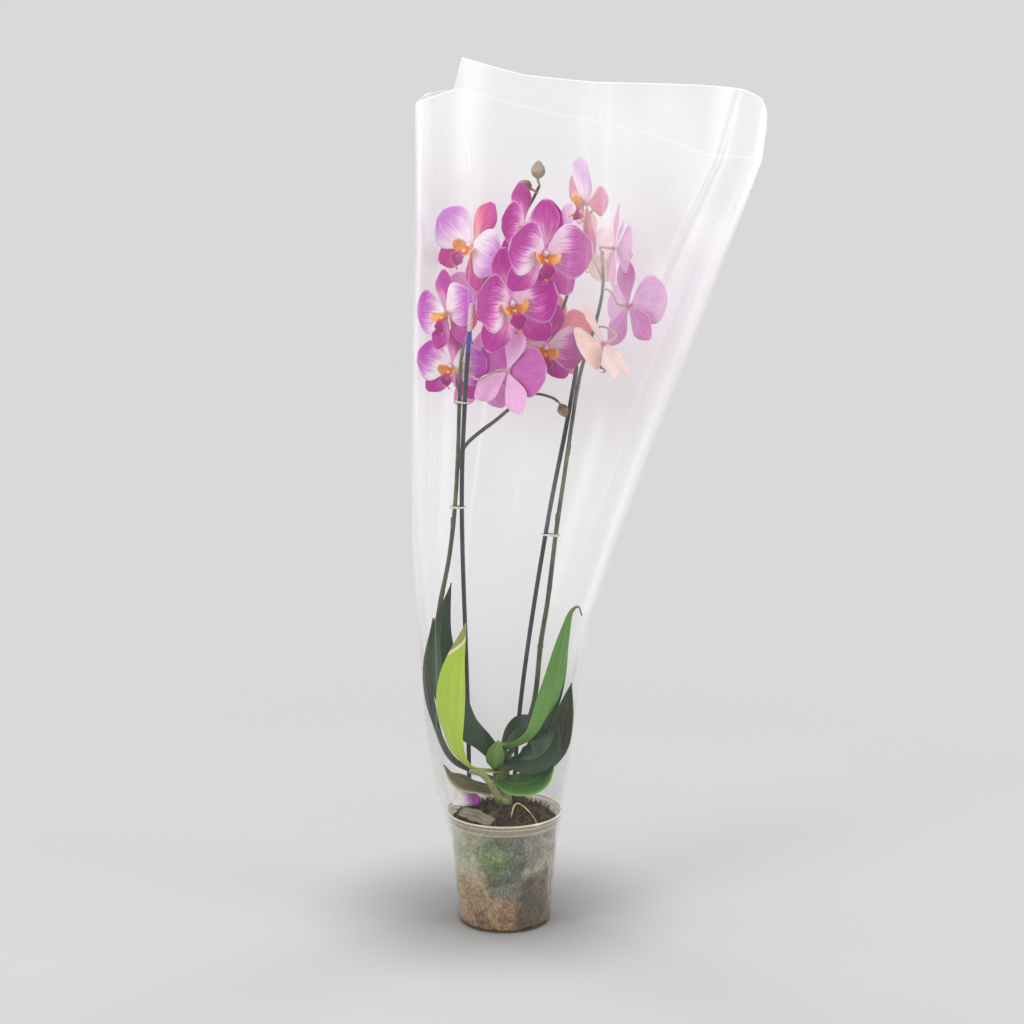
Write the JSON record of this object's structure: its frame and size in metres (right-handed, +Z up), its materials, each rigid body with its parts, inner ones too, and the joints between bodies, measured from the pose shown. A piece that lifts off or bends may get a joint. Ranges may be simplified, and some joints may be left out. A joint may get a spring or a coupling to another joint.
{
  "type": "potted orchid",
  "caption": "Moth orchid with magenta blooms on staked spikes, in a clear nursery pot filled with bark, standing in a flared cone of clear wrapping film.",
  "frame": {"origin": "middle of the pot's underside, on the surface it stands on", "axes": "+Z up along the pot's axis, -Y towards the front of the plant, +X to the side that the film flares to"},
  "size_m": [0.3506, 0.2225, 0.875],
  "materials": {
    "pot": "gloss",
    "film": "gloss",
    "bark": "matte",
    "root": "matte",
    "stem": "satin",
    "leaf": "satin",
    "pale_leaf": "satin",
    "dead_leaf": "matte",
    "stake": "satin",
    "tie": "satin",
    "bud": "satin",
    "bloom": "matte",
    "lip": "matte",
    "withered_bloom": "matte"
  },
  "bodies": {
    "root": {"bark_medium": "bark", "bloom_01": "bloom", "bloom_02": "bloom", "bloom_03": "bloom", "bloom_04": "bloom", "bloom_05": "bloom", "bloom_06": "bloom", "bloom_07": "bloom", "bloom_08": "bloom", "bloom_09": "bloom", "bloom_10": "bloom", "bloom_11": "bloom", "bloom_12": "bloom", "bloom_13": "bloom", "bloom_14": "bloom", "bloom_15": "bloom", "bloom_16": "bloom", "bud_branch": "bud", "bud_side": "bud", "bud_top": "bud", "crown": "stem", "fallen_bloom": "withered_bloom", "leaf_back_short": "leaf", "leaf_centre": "leaf", "leaf_left_dark": "leaf", "leaf_left_dead": "dead_leaf", "leaf_left_far": "leaf", "leaf_left_pale": "pale_leaf", "leaf_right_behind": "leaf", "leaf_right_broad": "leaf", "leaf_right_film": "leaf", "leaf_right_low": "pale_leaf", "leaf_right_tall": "leaf", "lip_01": "lip", "lip_02": "lip", "lip_03": "lip", "lip_04": "lip", "lip_05": "lip", "lip_06": "lip", "lip_07": "lip", "lip_08": "lip", "lip_09": "lip", "lip_10": "lip", "lip_11": "lip", "lip_12": "lip", "lip_13": "lip", "lip_14": "lip", "lip_15": "lip", "lip_16": "lip", "old_stub": "stem", "pot": "pot", "sleeve": "film", "spike_left": "stem", "spike_right": "stem", "stake_left": "stake", "stake_right": "stake", "surface_root": "root", "tie_left_high": "tie", "tie_left_low": "tie", "tie_right": "tie"}
  },
  "joints": []
}
